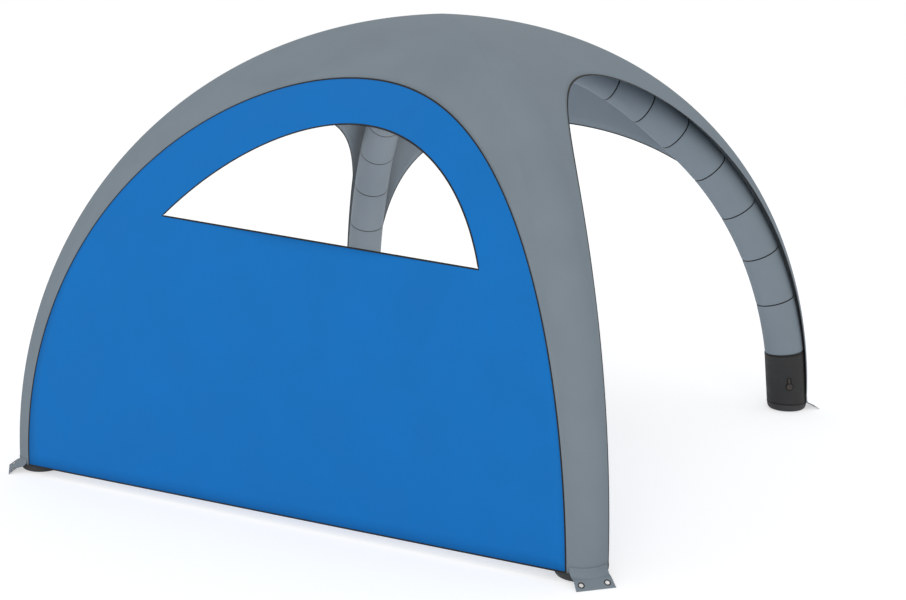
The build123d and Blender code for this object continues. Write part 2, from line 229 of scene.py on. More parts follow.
def distances_along(points):
    """Distance along a row of points, from the first to each of them."""
    runs = np.linalg.norm(np.diff(points, axis=0), axis=-1)
    return np.concatenate([np.zeros_like(runs[:1]), np.cumsum(runs, axis=0)])


def turned(points, heading):
    """Points turned about the crown's axis, by a heading in degrees."""
    return points @ np.array(Matrix.Rotation(radians(heading), 3, "Z")).T


def closed(ring):
    """An outline with its first point put again at its end."""
    return np.vstack([ring, ring[:1]])


def bezier(corners, samples):
    """Points and directions of a cubic curve, evenly spaced along it, and their distances."""
    corners = np.array(corners, dtype=float)
    share = np.linspace(0, 1, CURVE_SAMPLES)
    travelled = distances_along(cubic(corners, share[:, None]))
    wanted = np.linspace(0, travelled[-1], samples)
    share = np.interp(wanted, travelled, share)[:, None]
    slopes = ((1 - share) ** 2, 2 * share * (1 - share), share**2)
    ways = sum(slope * (b - a) for slope, a, b in zip(slopes, corners, corners[1:]))
    return cubic(corners, share), unit(ways), wanted


def leg_curve(samples=CURVE_SAMPLES):
    """Reach and height along a leg's centre, with directions and distances from the hem."""
    s = sizes()
    crown_height = CROWN_TOP - s.canopy_radius_crown
    corners = (
        (LEG_REACH, HEM_HEIGHT),
        (LEG_REACH - s.leg_lean, HEM_HEIGHT + s.leg_handle),
        (s.crown_handle, crown_height),
        (0, crown_height),
    )
    return bezier(corners, samples)


def canopy_radius(share):
    """Leg curve to canopy, at a share of the way from the hem to the crown."""
    s = sizes()
    return s.canopy_radius_foot + (s.canopy_radius_crown - s.canopy_radius_foot) * share


def contact_line(samples, offset=0.0):
    """Where a side's cloth meets the rounded strip of a leg: half span, reach and height."""
    spots, ways, distances = leg_curve(samples)
    radius = canopy_radius(distances / distances[-1]) + offset
    half_span, slope = spots[:, 0] / sqrt(2), ways[:, 0] / sqrt(2)
    length = np.sqrt(slope**2 + ways[:, 1] ** 2)
    reach = half_span + radius * ways[:, 1] / length
    return half_span, reach, spots[:, 1] - radius * slope / length


def side_profile(offset=0.0):
    """A function from heights to the reach of a side's cloth, and one to distance up the cloth."""
    _, reach, height = contact_line(CURVE_SAMPLES, offset)
    runs = distances_along(np.stack([reach, height], axis=1))
    return lambda z: np.interp(z, height, reach), lambda z: np.interp(z, height, runs)


def arch_outline(rise, handle, pull, samples, grow=0.0):
    """Right half of an arched opening, seen square on, from the hem to the top."""
    s = sizes()
    foot, top = s.arch_half_width + grow, HEM_HEIGHT + rise + grow
    corners = ((foot, HEM_HEIGHT), (foot - s.arch_lean, HEM_HEIGHT + handle), (pull, top), (0, top))
    return bezier(corners, samples)[0]


def arches():
    """Rise, lower handle and upper handle of the arch in each side."""
    s = sizes()
    return {
        "front": (s.high_arch_rise, s.arch_handle, s.high_arch_pull),
        "right": (s.high_arch_rise, s.arch_handle, s.high_arch_pull),
        "back": (s.back_arch_rise, s.back_arch_handle, s.back_arch_pull),
        "left": (s.left_arch_rise, s.arch_handle, s.left_arch_pull),
    }


def side_opening(side, samples, grow=0.0):
    """Right half of a side's opening, kept clear of the leg strips."""
    s = sizes()
    outline = arch_outline(*arches()[side], samples, grow)
    half_span, _, height = contact_line(CURVE_SAMPLES)
    limit = np.interp(outline[:, 1], height, half_span) - s.panel_margin + grow
    outline[:, 0] = np.minimum(outline[:, 0], limit)
    return outline


def window_outline(samples, grow=0.0):
    """Half-moon outline of the window, seen square on, from its left corner over its top."""
    s = sizes()
    corners = (s.window_left, s.window_left_pull, s.window_right_pull, s.window_right)
    top = bezier([(x, HEM_HEIGHT + rise) for x, rise in corners], samples)[0]
    base = np.linspace(top[-1], top[0], samples // 2)[1:-1]
    ring = np.vstack([top, base])
    chord = np.roll(ring, -1, axis=0) - np.roll(ring, 1, axis=0)
    normal = unit(np.stack([-chord[:, 1], chord[:, 0]], axis=1))
    away = np.sum(normal * (ring - ring.mean(axis=0)), axis=1)
    normal[away < 0] *= -1
    return ring + normal * grow


def on_side(side, flat, lift=0.0):
    """Points of a side's cloth from their places seen square on."""
    reach_at, run_at = side_profile(lift)
    flat = np.asarray(flat, dtype=float)
    points = np.stack([flat[..., 0], -reach_at(flat[..., 1]), flat[..., 1]], axis=-1)
    return turned(points, SIDES[side]), np.stack([flat[..., 0], run_at(flat[..., 1])], axis=-1)


def mirrored(half):
    """A whole arch from its right half, from the right hem over the top to the left hem."""
    return np.vstack([half, half[::-1][1:] * (-1, 1)])


# ---------------------------------------------------------------- meshes


def link_piece(name, mesh):
    piece = bpy.data.objects.new(name, mesh)
    bpy.context.collection.objects.link(piece)
    return piece


def deselect():
    for other in bpy.context.selected_objects:
        other.select_set(False)


def pick(piece):
    """Makes a piece the only selected and active one."""
    deselect()
    piece.select_set(True)
    bpy.context.view_layer.objects.active = piece


def named(name):
    """The object added last, under a name that its data shares."""
    added = bpy.context.active_object
    added.name = added.data.name = name
    return added


def applied(scale=(1, 1, 1), heading=0.0):
    """The primitive added last, with its place, turn and scale put into its mesh."""
    piece = bpy.context.active_object
    piece.scale = scale
    piece.rotation_euler = (0, 0, heading)
    bpy.ops.object.transform_apply(location=True, rotation=True, scale=True)
    return piece


@contextmanager
def editing(piece, elements="VERT"):
    """Opens a piece for edit operators with all of it selected."""
    pick(piece)
    bpy.ops.object.mode_set(mode="EDIT")
    bpy.ops.mesh.select_mode(type=elements)
    bpy.ops.mesh.select_all(action="SELECT")
    yield
    bpy.ops.object.mode_set(mode="OBJECT")


def smooth(piece, sharpest):
    """Smooth shading, but not over edges sharper than an angle in degrees."""
    pick(piece)
    bpy.ops.object.shade_smooth_by_angle(angle=radians(sharpest))


def add_grid(build, layer, points, uvs, wrapped=False):
    """Faces between rows of points, with their places on the cloth."""
    rows, columns = points.shape[:2]
    count = columns - 1 if wrapped else columns
    grid = [[build.verts.new(points[i, j]) for j in range(count)] for i in range(rows)]
    for i in range(rows - 1):
        for j in range(columns - 1):
            cells = ((i, j), (i, j + 1), (i + 1, j + 1), (i + 1, j))
            face = build.faces.new([grid[a][b % count] for a, b in cells])
            for loop, (a, b) in zip(face.loops, cells):
                loop[layer].uv = uvs[a, b]
    return grid


def built_piece(name, build):
    mesh = bpy.data.meshes.new(name)
    build.to_mesh(mesh)
    build.free()
    return link_piece(name, mesh)


def cloth_piece(name, patches, outward, closed_ends=False):
    """One mesh from grids of points, its faces looking where a function of their place says."""
    build = bmesh.new()
    layer = build.loops.layers.uv.new("UVMap")
    for points, uvs in patches:
        add_grid(build, layer, points, uvs)
    bmesh.ops.remove_doubles(build, verts=build.verts, dist=SAME_POINT)
    bmesh.ops.dissolve_degenerate(build, edges=build.edges, dist=1e-6)
    if closed_ends:
        bmesh.ops.holes_fill(build, edges=[edge for edge in build.edges if edge.is_boundary])
    bmesh.ops.recalc_face_normals(build, faces=build.faces)
    facing = sum(
        face.normal.dot(outward(face.calc_center_median())) * face.calc_area()
        for face in build.faces
    )
    if facing < 0:
        bmesh.ops.reverse_faces(build, faces=build.faces)
    for face in build.faces:
        face.smooth = True
    return built_piece(name, build)


def finish_modifier(piece, kind, **settings):
    """Adds a modifier and applies it."""
    pick(piece)
    modifier = piece.modifiers.new(kind.title(), kind)
    for name, value in settings.items():
        setattr(modifier, name, value)
    bpy.ops.object.modifier_apply(modifier=modifier.name)


def thicken(piece, thickness):
    """Gives a cloth its thickness, inwards from its outer face."""
    finish_modifier(piece, "SOLIDIFY", thickness=thickness, offset=-1.0)


def drill(piece, radius, depth, place, sides):
    """Cuts a round hole through a piece."""
    deselect()
    bpy.ops.mesh.primitive_cylinder_add(vertices=sides, radius=radius, depth=depth)
    bit = bpy.context.active_object
    bit.data.transform(place)
    finish_modifier(piece, "BOOLEAN", object=bit, operation="DIFFERENCE", solver="EXACT")
    bpy.data.objects.remove(bit)


def join_pieces(name, parts):
    pick(parts[0])
    for part in parts[1:]:
        part.select_set(True)
    bpy.ops.object.join()
    whole = bpy.context.view_layer.objects.active
    whole.name = whole.data.name = name
    return whole


def lathe(name, profile, sides, place=Matrix()):
    """A turned shape: a circle extruded ring by ring, each ring given as (height, radius)."""
    deselect()
    height, radius = profile[0]
    bpy.ops.mesh.primitive_circle_add(vertices=sides, radius=radius, location=(0, 0, height))
    applied()
    piece = named(name)
    with editing(piece):
        for next_height, next_radius in profile[1:]:
            rise = (0, 0, next_height - height)
            bpy.ops.mesh.extrude_region_move(TRANSFORM_OT_translate={"value": rise})
            if next_radius == 0:
                bpy.ops.mesh.merge(type="CENTER")
                break
            ratio = next_radius / radius
            centre = (0, 0, next_height)
            bpy.ops.transform.resize(value=(ratio, ratio, 1), center_override=centre)
            height, radius = next_height, next_radius
        bpy.ops.mesh.select_all(action="SELECT")
        bpy.ops.mesh.remove_doubles(threshold=0.00002)
        bpy.ops.mesh.normals_make_consistent(inside=False)
    piece.data.transform(place)
    smooth(piece, SOFT_EDGE)
    return piece


def ribbon(name, side, edge, inner, width):
    """Folded tape over a cloth's edge, its faces standing off both sides of the cloth."""
    s = sizes()
    high, low = s.binding_height, -s.cloth - s.binding_height
    # Share of the width and lift off the cloth's outer face, once round the folded tape
    section = (
        (1.0, 0.5 * high),
        (0.9, high),
        (0.1, high),
        (-0.06, 0.3 * high),
        (-0.06, -s.cloth - 0.3 * high),
        (0.1, low),
        (0.9, low),
        (1.0, -s.cloth - 0.5 * high),
        (1.0, 0.5 * high),
    )
    along = distances_along(edge)
    columns = [on_side(side, edge + (inner - edge) * share, lift)[0] for share, lift in section]
    places = [np.stack([along, np.full(len(along), share * width)], axis=1) for share, _ in section]
    points = np.stack(columns, axis=1)
    build = bmesh.new()
    layer = build.loops.layers.uv.new("UVMap")
    grid = add_grid(build, layer, points, np.stack(places, axis=1), wrapped=True)
    if np.allclose(points[0], points[-1], atol=1e-6):
        bmesh.ops.remove_doubles(build, verts=build.verts, dist=1e-6)
    else:
        build.faces.new(grid[0][::-1])
        build.faces.new(grid[-1])
    bmesh.ops.recalc_face_normals(build, faces=build.faces)
    piece = built_piece(name, build)
    smooth(piece, ROUND_EDGE)
    return piece


def finish_piece(piece, material, body="shelter"):
    """Gives a piece its finish and body, where None leaves what it has."""
    if material:
        piece.data.materials.clear()
        piece.data.materials.append(material)
    if body:
        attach(piece, body)


def at_corners(piece, name, material, body="shelter", replaced=()):
    """Copies a piece made for a leg that heads along X to all four corners."""
    made = {}
    for corner, heading in CORNERS.items():
        mesh = piece.data.copy()
        mesh.name = f"{corner}_{name}"
        mesh.transform(Matrix.Rotation(radians(heading), 4, "Z"))
        made[corner] = link_piece(mesh.name, mesh)
        finish_piece(made[corner], material, body and body.format(corner=corner))
        if replaced:
            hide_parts(*[f"{corner}_{node}" for node in replaced])
    bpy.data.objects.remove(piece)
    return made


# ---------------------------------------------------------------- materials


class NodeTree:
    """The nodes of a material or world, added with short calls."""

    def __init__(self, owner):
        owner.use_nodes = True
        self.nodes, self.links = owner.node_tree.nodes, owner.node_tree.links
        self.nodes.clear()

    def put(self, value, socket):
        """Joins an input to an output, or sets it to a number or colour."""
        if isinstance(value, bpy.types.NodeSocket):
            self.links.new(value, socket)
        else:
            socket.default_value = value

    def add(self, kind, **inputs):
        node = self.nodes.new(kind)
        for name, value in inputs.items():
            self.put(value, node.inputs[name.replace("_", " ")])
        return node

    def maths(self, operation, *values):
        node = self.nodes.new("ShaderNodeMath")
        node.operation = operation
        for value, socket in zip(values, node.inputs):
            self.put(value, socket)
        return node.outputs[0]

    def two_shaders(self, kind, first, second, **inputs):
        """A mix or sum of two shaders, which are its last two inputs."""
        node = self.add(kind, **inputs)
        self.put(first, node.inputs[-2])
        self.put(second, node.inputs[-1])
        return node.outputs[0]

    def pale_rays(self):
        """1 for rays that show the background itself, also in gloss and through clear film."""
        path = self.add("ShaderNodeLightPath").outputs
        shown = self.maths("MAXIMUM", path["Is Camera Ray"], path["Is Glossy Ray"])
        return self.maths("MAXIMUM", shown, path["Is Transmission Ray"])


class Finish(NodeTree):
    """A material's nodes, where each pattern is given as its output socket."""

    def __init__(self, name, roughness, specular=0.5):
        self.material = bpy.data.materials.get(name) or bpy.data.materials.new(name)
        super().__init__(self.material)
        self.shader = self.add(
            "ShaderNodeBsdfPrincipled", Roughness=roughness, Specular_IOR_Level=specular
        )
        self.add("ShaderNodeOutputMaterial", Surface=self.shader.outputs["BSDF"])
        self.coordinates = self.add("ShaderNodeTexCoord").outputs

    def noise(self, where, scale, detail, stretch=(1, 1, 1)):
        mapping = self.add("ShaderNodeMapping", Vector=self.coordinates[where], Scale=stretch)
        place = mapping.outputs["Vector"]
        noise = self.add("ShaderNodeTexNoise", Vector=place, Scale=scale, Detail=detail)
        return noise.outputs["Fac"]

    def bands(self, where, direction, pitch):
        """Sine bands a pitch apart, in metres."""
        place = self.coordinates[where]
        wave = self.add("ShaderNodeTexWave", Vector=place, Scale=tau / (20 * pitch))
        wave.bands_direction = direction
        return wave.outputs["Fac"]

    def weave(self, where, pitch):
        """Plain weave with its threads a pitch apart."""
        warp, weft = self.bands(where, "X", pitch), self.bands(where, "Y", pitch)
        return self.maths("MULTIPLY", warp, weft)

    def ramp(self, source, *stops):
        """A ramp from stops of a place and a colour, or a place and a grey."""
        ramp = self.add("ShaderNodeValToRGB", Fac=source)
        elements = ramp.color_ramp.elements
        while len(elements) < len(stops):
            elements.new(0.5)
        for element, (place, tone) in zip(elements, stops):
            element.position = place
            element.color = (*((tone,) * 3 if isinstance(tone, float) else tone), 1)
        return ramp.outputs["Color"]

    def mix(self, kind, factor, first, second):
        node = self.nodes.new("ShaderNodeMix")
        node.data_type, node.blend_type = "RGBA", kind
        for value, name in ((factor, "Factor"), (first, "A"), (second, "B")):
            self.put(value, node.inputs[name])
        return node.outputs["Result"]

    def bump(self, source, distance, strength, **below):
        below.update(Height=source, Distance=distance, Strength=strength)
        return self.add("ShaderNodeBump", **below).outputs["Normal"]

    def done(self, **inputs):
        """The material, once these inputs of its shader are joined or set."""
        for name, value in inputs.items():
            self.put(value, self.shader.inputs[name.replace("_", " ")])
        return self.material


def shade(colour, factor):
    return tuple(min(1, channel * factor) for channel in colour)


def coated_cloth(
    name, colour, thread=0.0011, ripple=0.0035, where="UV", roughness=0.72, mottle=0.05
):
    """Matt coated polyester: plain weave, faint cloudiness of the coating, soft tension ripples."""
    finish = Finish(name, roughness, 0.12)
    clouds = finish.noise(where, 2.2, 5.0)
    dull, pale = shade(colour, 1 - mottle), shade(colour, 1 + mottle)
    tone = finish.ramp(clouds, (0.3, dull), (0.5, colour), (0.72, pale))
    weave = finish.weave(where, thread)
    lit = finish.ramp(weave, (0.0, 0.86), (0.6, 1.0))
    waves = finish.noise(where, 3.0, 2.0, (1.0, 0.35, 1.0))
    soft = finish.bump(waves, ripple, 0.6)
    return finish.done(
        Base_Color=finish.mix("MULTIPLY", 0.16, tone, lit),
        Normal=finish.bump(weave, 0.0002, 0.5, Normal=soft),
        Roughness=finish.ramp(clouds, (0.3, roughness - 0.06), (0.7, roughness + 0.08)),
    )


def heavy_cloth(name, colour):
    """Thick coated boot fabric: coarse basket weave, scuffed paler where it rubs."""
    finish = Finish(name, 0.62, 0.25)
    scuffs = finish.noise("Object", 9.0, 8.0, (1.0, 1.0, 2.5))
    dull, pale = shade(colour, 0.88), shade(colour, 1.35)
    dents = finish.bump(scuffs, 0.002, 0.35)
    return finish.done(
        Base_Color=finish.ramp(scuffs, (0.35, dull), (0.56, colour), (0.78, pale)),
        Normal=finish.bump(finish.weave("UV", 0.0026), 0.0005, 0.6, Normal=dents),
        Roughness=finish.ramp(scuffs, (0.3, 0.55), (0.8, 0.8)),
    )


def moulded_rubber(name, colour):
    """Matt rubber: fine pebbled skin, dusty in places."""
    finish = Finish(name, 0.7)
    dust = finish.noise("Object", 6.0, 7.0)
    place = finish.coordinates["Object"]
    pebbles = finish.add("ShaderNodeTexVoronoi", Vector=place, Scale=420.0)
    return finish.done(
        Base_Color=finish.ramp(dust, (0.4, colour), (0.75, shade(colour, 1.5))),
        Normal=finish.bump(pebbles.outputs["Distance"], 0.0004, 0.5),
    )


def moulded_plastic(name, colour):
    """Injection-moulded plastic: faint flow marks and a spark-eroded texture."""
    finish = Finish(name, 0.46, 0.2)
    flow = finish.noise("Object", 14.0, 4.0)
    spark = finish.noise("Object", 900.0, 2.0)
    return finish.done(
        Base_Color=finish.ramp(flow, (0.35, shade(colour, 0.9)), (0.7, shade(colour, 1.15))),
        Normal=finish.bump(spark, 0.00015, 0.4),
        Roughness=finish.ramp(flow, (0.3, 0.4), (0.75, 0.56)),
    )


def aged_metal(name, colour):
    """Dark plated eyelet metal with fine turning marks and dulled patches."""
    finish = Finish(name, 0.38)
    patches = finish.noise("Object", 60.0, 6.0)
    marks = finish.noise("Object", 1400.0, 2.0, (1.0, 1.0, 0.1))
    return finish.done(
        Base_Color=finish.ramp(patches, (0.35, shade(colour, 0.75)), (0.7, shade(colour, 1.4))),
        Metallic=0.2,
        Normal=finish.bump(marks, 0.0001, 0.4),
        Roughness=finish.ramp(patches, (0.3, 0.28), (0.75, 0.5)),
    )


def stitched_tape(name, colour, width):
    """Woven binding tape with a row of stitches near each edge."""
    pitch, stitched, row_place, half_thread = 0.0045, 0.7, 0.3, 0.0005
    finish = Finish(name, 0.68, 0.2)
    fleck = finish.noise("UV", 90.0, 4.0)
    tone = finish.ramp(fleck, (0.3, shade(colour, 0.8)), (0.7, shade(colour, 1.25)))
    place = finish.add("ShaderNodeSeparateXYZ", Vector=finish.coordinates["UV"]).outputs
    along = finish.maths("FRACT", finish.maths("MULTIPLY", place["X"], 1 / pitch))
    dash = finish.maths("LESS_THAN", along, stitched)
    off_middle = finish.maths("ABSOLUTE", finish.maths("SUBTRACT", place["Y"], width / 2))
    off_row = finish.maths("ABSOLUTE", finish.maths("SUBTRACT", off_middle, width * row_place))
    stitch = finish.maths("MULTIPLY", dash, finish.maths("LESS_THAN", off_row, half_thread))
    rib = finish.bump(finish.bands("UV", "X", 0.0012), 0.0002, 0.5)
    return finish.done(
        Base_Color=finish.mix("MIX", stitch, tone, (*shade(colour, 2.2), 1)),
        Normal=finish.bump(stitch, 0.0006, 0.8, Normal=rib),
    )


def clear_film(name, colour):
    """Thin clear film: mostly see-through, glossy, with the faintest haze and waves."""
    finish = Finish(name, 0.06, 0.4)
    haze = finish.noise("UV", 1.6, 4.0)
    return finish.done(
        Base_Color=(*colour, 1),
        Alpha=finish.ramp(haze, (0.35, 0.02), (0.75, 0.05)),
        Normal=finish.bump(finish.noise("UV", 5.0, 1.0), 0.002, 0.3),
        Roughness=finish.ramp(haze, (0.3, 0.05), (0.8, 0.14)),
    )


# ---------------------------------------------------------------- places on the legs


def upright(across, up):
    """Points or directions in the upright plane of the leg that heads along X."""
    return np.stack([across, np.zeros(len(across)), up], axis=1)


def leg_frames(distances):
    """Centre and outward direction of the leg that heads along X."""
    spots, ways, travelled = leg_curve()
    centre = np.stack([np.interp(distances, travelled, spots[:, i]) for i in (0, 1)], axis=1)
    way = unit(np.stack([np.interp(distances, travelled, ways[:, i]) for i in (0, 1)], axis=1))
    return upright(centre[:, 0], centre[:, 1]), upright(way[:, 1], -way[:, 0])


def round_leg(centre, outward, radii, turn):
    """Rows of points round a leg, at angles from its outward direction."""
    ring = np.cos(turn)[..., None] * outward[:, None] + np.sin(turn)[..., None] * SIDEWAYS
    return centre[:, None] + radii[:, None, None] * ring


def beam_rise(distances):
    """0 on the lower beam, growing to 1 where it bends in under the crown."""
    s = sizes()
    share = np.clip((distances - s.rise_start) / (s.rise_end - s.rise_start), 0, 1)
    return share * share * (3 - 2 * share)


def rings_round_leg(distances, radii, sides):
    """Rings of points round an air beam with their places on its surface."""
    centre, outward = leg_frames(distances)
    centre = centre + outward * (sizes().crown_lift * beam_rise(distances))[:, None]
    turn = np.linspace(-pi, pi, sides + 1)[None]
    up = np.repeat(distances[:, None], sides + 1, 1)
    return round_leg(centre, outward, radii, turn), np.stack([turn * radii[:, None], up], axis=-1)


def boot_frame():
    """Foot of the straight leg inside a boot that heads along X, with its way up and outwards."""
    spots, _, travelled = leg_curve()
    top = [np.interp(sizes().boot_height, travelled, spots[:, i]) for i in (0, 1)]
    foot = Vector((LEG_REACH, 0, HEM_HEIGHT))
    way = (Vector((top[0], 0, top[1])) - foot).normalized()
    return foot, way, Vector((way.z, 0, -way.x))


def frame_at(origin, x, z):
    """Place with a given origin, x axis and z axis."""
    return Matrix.Translation(origin) @ Matrix((x, z.cross(x), z)).transposed().to_4x4()


def valve_frame():
    """Place of the valve of a boot that heads along X: x up the boot, z out of it."""
    corner = "back_right"
    joint = next(j for j in frame["joints"] if j["name"] == f"{corner}_plunger_press")
    low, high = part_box(f"{corner}_valve_body")
    unturn = Matrix.Rotation(radians(-CORNERS[corner]), 4, "Z")
    out = (unturn @ -Vector(joint["axis"])).normalized()
    foot, way, _ = boot_frame()
    middle = unturn @ ((low + high) / 2)
    # The valve lies on the sleeve's face, level with the middle of its barrel
    origin = foot + way * (middle - foot).dot(way) + out * sizes().boot_radius
    return frame_at(origin, (way - out * way.dot(out)).normalized(), out)


def from_boot(spot):
    """Outwards from the middle of a boot that heads along X."""
    return spot - Vector((LEG_REACH, 0, spot.z))


def angle_from(centre, points):
    return np.arctan2(points[:, 1] - centre[1], points[:, 0] - centre[0])


def hit_outline(ring, centre, angle):
    """Where a ray from a centre meets an outline that surrounds it."""
    tiny = 1e-12
    way = np.array([np.cos(angle), np.sin(angle)])
    start, end = ring - centre, np.roll(ring, -1, axis=0) - centre
    side_a = way[0] * start[:, 1] - way[1] * start[:, 0]
    side_b = way[0] * end[:, 1] - way[1] * end[:, 0]
    span = side_a - side_b
    share = np.divide(side_a, span, out=np.zeros(len(ring)), where=abs(span) > tiny)
    spot = start + (end - start) * share[:, None]
    within = (share >= -1e-9) & (share <= 1 + 1e-9)
    fits = (side_a * side_b <= tiny) & within & (spot @ way > 0)
    return centre + spot[np.argmax(fits)]


# ---------------------------------------------------------------- operators


class SHELTER_OT_stage(bpy.types.Operator):
    """Puts up the floor, the soft light and the camera."""

    bl_idname = "shelter.stage"
    bl_label = "Floor, light and camera"

    def execute(self, context):
        scene = context.scene
        scene.view_settings.view_transform = "Standard"
        deselect()
        bpy.ops.object.camera_add(
            location=CAMERA_PLACE, rotation=(pi / 2 - CAMERA_DIP, 0, CAMERA_HEADING)
        )
        camera = named("camera")
        camera.data.lens, camera.data.sensor_width = CAMERA_LENS, CAMERA_SENSOR
        scene.camera = camera

        deselect()
        bpy.ops.mesh.primitive_circle_add(vertices=96, radius=60, fill_type="NGON")
        floor = named("studio_floor")
        floor.data.materials.append(self.floor_material())

        deselect()
        bpy.ops.object.light_add(type="SUN", location=(-6, -9, 12))
        sun = named("soft_key_light")
        sun.data.energy = 0.95
        sun.data.angle = radians(45)
        sun.rotation_euler = (radians(68), 0, radians(24))

        deselect()
        bpy.ops.object.light_add(type="AREA", location=(0, 0, 0.05), rotation=(pi, 0, 0))
        fill = named("under_fill_light")
        fill.data.shape = "DISK"
        fill.data.size = 4.6
        fill.data.energy = 55

        scene.world = scene.world or bpy.data.worlds.new("studio")
        tree = NodeTree(scene.world)
        lit = tree.add("ShaderNodeBackground", Color=(0.97, 0.985, 1.0, 1), Strength=0.74)
        seen = tree.add("ShaderNodeBackground", Color=(1, 1, 1, 1), Strength=1.0)
        sky = tree.two_shaders(
            "ShaderNodeMixShader", lit.outputs[0], seen.outputs[0], Fac=tree.pale_rays()
        )
        tree.add("ShaderNodeOutputWorld", Surface=sky)
        return {"FINISHED"}

    def floor_material(self):
        """Grey in the light that it sends up, and pale where it is seen."""
        material = bpy.data.materials.new("pale_floor")
        tree = NodeTree(material)
        plain = tree.add("ShaderNodeBsdfDiffuse", Color=(0.85, 0.85, 0.85, 1))
        pale = tree.add("ShaderNodeBsdfDiffuse", Color=(0.62, 0.62, 0.62, 1))
        glow = tree.add("ShaderNodeEmission", Color=(1, 1, 1, 1), Strength=0.55)
        seen = tree.two_shaders("ShaderNodeAddShader", pale.outputs[0], glow.outputs[0])
        both = tree.two_shaders(
            "ShaderNodeMixShader", plain.outputs[0], seen, Fac=tree.pale_rays()
        )
        tree.add("ShaderNodeOutputMaterial", Surface=both)
        return material


class SHELTER_OT_canopy(bpy.types.Operator):
    """Makes the canopy as one curved cloth over the four legs and the four arches."""

    bl_idname = "shelter.canopy"
    bl_label = "Canopy"

    def execute(self, context):
        s = sizes()
        patches = self.side_patches(rows=84, columns=11) + self.leg_patches(rows=84, columns=13)
        canopy = cloth_piece("canopy_cover", patches, lambda spot: spot - DOME_MIDDLE)
        thicken(canopy, s.cloth)
        cloth = coated_cloth("canopy_cloth", colours().canopy)
        finish_piece(canopy, cloth)
        covered = [f"{side}_panel" for side in SIDES]
        covered += [f"{corner}_leg_strip" for corner in CORNERS]
        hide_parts("crown_patch", *covered)

        tape = stitched_tape("binding_tape", colours().line, s.binding_width)
        for side in ("right", "back", "left"):
            edge = mirrored(side_opening(side, 90))
            inner = mirrored(side_opening(side, 90, s.binding_width))
            binding = ribbon(f"{side}_arch_binding", side, edge, inner, s.binding_width)
            finish_piece(binding, tape)
        return {"FINISHED"}

    def side_patches(self, rows, columns):
        """The cloth beside each arch, out to where it meets the legs' strips."""
        half_span, reach, height = contact_line(rows)
        joined = np.stack([half_span, height], axis=1)
        share = np.linspace(0, 1, columns)[None, :, None]
        patches = []
        for side, heading in SIDES.items():
            opening = side_opening(side, rows)
            flat = opening[:, None] + (joined - opening)[:, None] * share
            for hand in (1, -1):
                points, uvs = on_side(side, flat * (hand, 1))
                edge = np.stack([half_span * hand, -reach, height], axis=1)
                points[:, -1] = turned(edge, heading)
                patches.append((points, uvs))
        return patches

    def leg_patches(self, rows, columns):
        """The rounded strip of cloth over each leg."""
        spots, ways, distances = leg_curve(rows)
        radius = canopy_radius(distances / distances[-1])
        turn = np.linspace(-1, 1, columns)[None] * np.arctan(ways[:, 1])[:, None]
        centre, outward = upright(*spots.T), upright(ways[:, 1], -ways[:, 0])
        points = round_leg(centre, outward, radius, turn)
        up = np.repeat(distances[:, None], columns, 1)
        uvs = np.stack([turn * radius[:, None], up], axis=-1)
        return [(turned(points, heading), uvs) for heading in CORNERS.values()]


class SHELTER_OT_wall(bpy.types.Operator):
    """Makes the side wall with its bindings, and the window with its welt."""

    bl_idname = "shelter.wall"
    bl_label = "Side wall and window"

    def execute(self, context):
        s = sizes()
        centre, inner, outer = self.outlines(arch_points=100, window_points=120)
        share = np.linspace(0, 1, 19)[:, None, None]
        wall = self.front_cloth("side_wall_cloth", inner + (outer - inner) * share)
        thicken(wall, s.cloth)
        finish_piece(wall, coated_cloth("wall_cloth", colours().wall, mottle=0.035))
        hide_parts("side_wall")

        share = np.append(np.linspace(1, 0.02, 12), 0)[:, None, None]
        film = self.front_cloth("window_film", centre + (inner - centre) * share)
        thicken(film, FILM_THICKNESS)
        finish_piece(film, clear_film("window_film", colours().film))
        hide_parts("window_pane")

        width = s.binding_width
        tape = stitched_tape("binding_tape", colours().line, width)
        arch, within = side_opening("front", 100), side_opening("front", 100, -width)
        across = np.linspace(-s.arch_half_width, s.arch_half_width, 120)
        hem = np.stack([across, np.full(len(across), HEM_HEIGHT)], axis=1)
        parts = [
            ribbon("wall_binding", "front", mirrored(arch), mirrored(within), width),
            ribbon("hem_binding", "front", hem, hem + (0, width), width),
        ]
        binding = join_pieces("wall_binding", parts)
        finish_piece(binding, tape)
        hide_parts("wall_tape")
        out, within = (closed(window_outline(160, grow)) for grow in (width / 2, -width / 2))
        welt = ribbon("window_welt", "front", out, within, width)
        finish_piece(welt, tape)
        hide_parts("window_tape")
        return {"FINISHED"}

    def outlines(self, arch_points, window_points):
        """The window's middle, and the outlines of window and wall where rays from it meet them."""
        hem_inset = 0.0003
        arch = mirrored(side_opening("front", arch_points, -hem_inset))
        hem = np.linspace(arch[-1], arch[0], arch_points)[1:-1]
        outline = np.vstack([arch, hem])
        moon = window_outline(window_points)
        centre = moon.mean(axis=0)
        ends = moon[[0, window_points - 1]]
        angles = np.concatenate([angle_from(centre, outline), angle_from(centre, ends)])
        hits = [
            np.array([hit_outline(ring, centre, angle) for angle in np.unique(angles)])
            for ring in (moon, outline)
        ]
        return centre, closed(hits[0]), closed(hits[1])

    def front_cloth(self, name, flat):
        return cloth_piece(name, [on_side("front", flat)], lambda spot: WALL_WAY)


